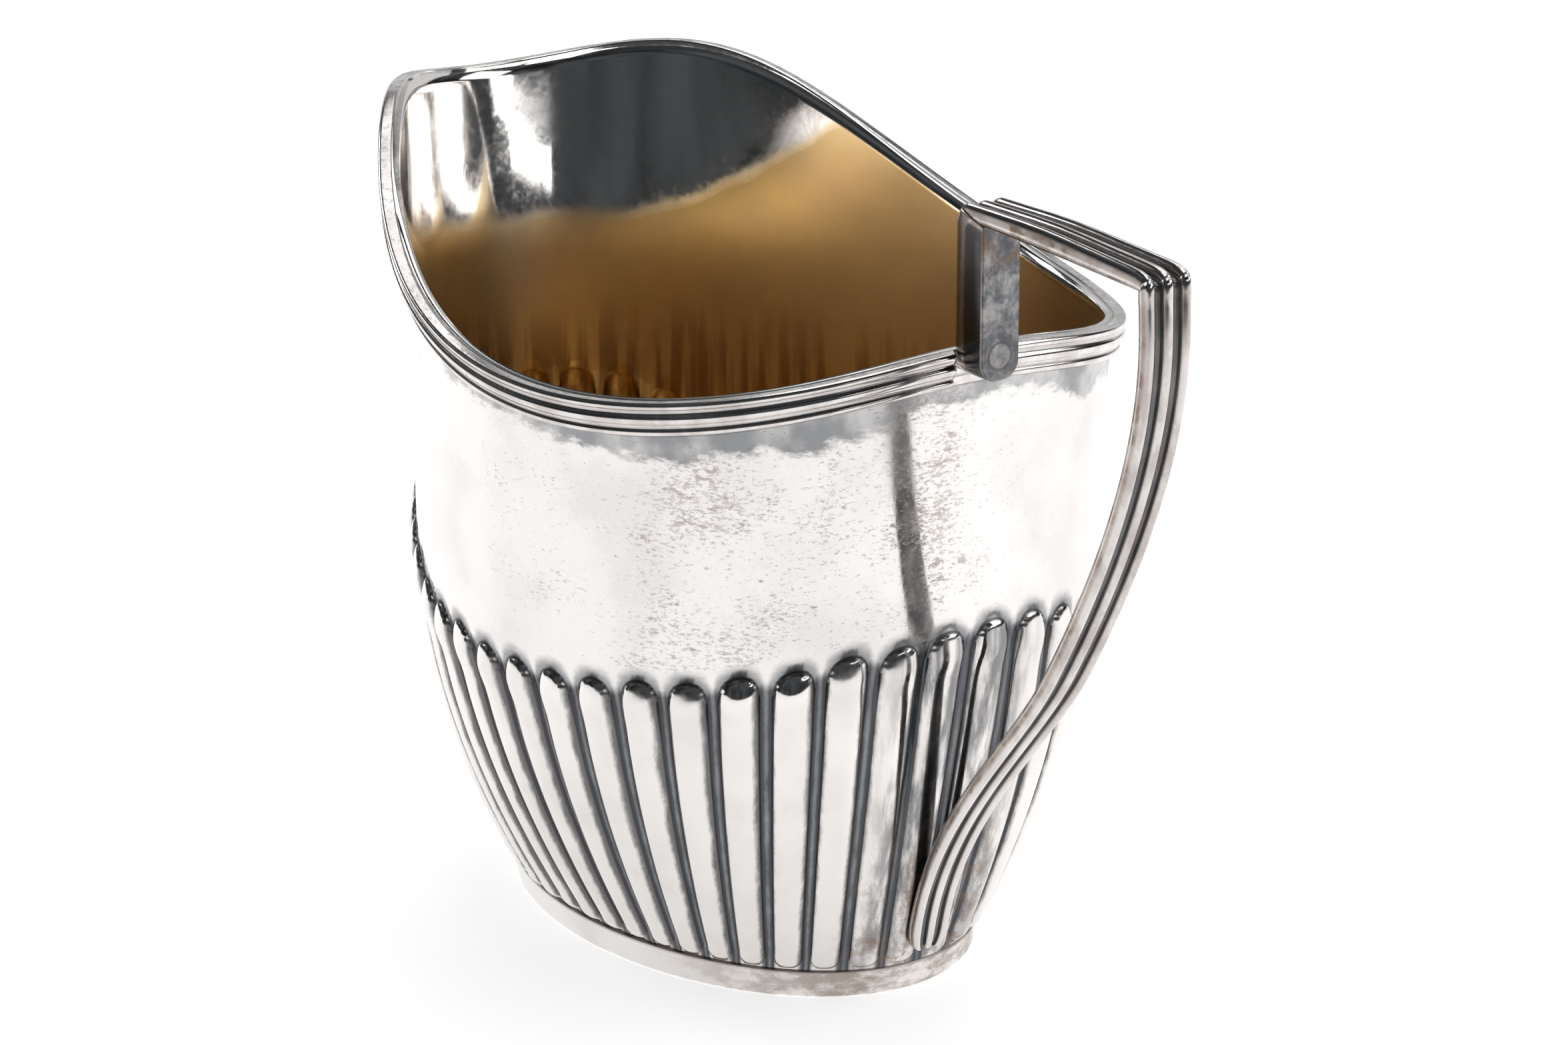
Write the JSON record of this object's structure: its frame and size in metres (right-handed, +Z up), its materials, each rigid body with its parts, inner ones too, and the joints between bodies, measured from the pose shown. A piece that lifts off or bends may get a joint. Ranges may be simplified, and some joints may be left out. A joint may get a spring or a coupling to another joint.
{
  "type": "cream jug",
  "caption": "Small oval silver cream jug with a convex half-fluted bowl, plain band, raised lip, reeded rim, angular reeded strap handle and low foot band.",
  "frame": {"origin": "centre of the foot band's underside, on the table", "axes": "+X along the jug towards the handle, -X towards the lip, +Y across the jug, +Z up"},
  "size_m": [0.1177, 0.0712, 0.0846],
  "materials": {
    "body_silver": "polished silver sheet, tarnished in the fillets and under the rim, gilt inside the bowl",
    "base_silver": "silver plate, gilt on the inside and worn silver underneath",
    "foot_silver": "polished silver, brown tarnish towards the handle",
    "rim_silver": "polished silver with dark grooves between the reeds",
    "handle_silver": "polished silver with dark grooves between the reeds and grey tarnish on the flat back"
  },
  "bodies": {
    "root": {"body_wall": "body_silver", "base_plate": "base_silver", "foot_band": "foot_silver", "rim_moulding": "rim_silver", "handle_riser": "handle_silver", "handle_crossbar": "handle_silver", "handle_sweep": "handle_silver"}
  },
  "joints": []
}
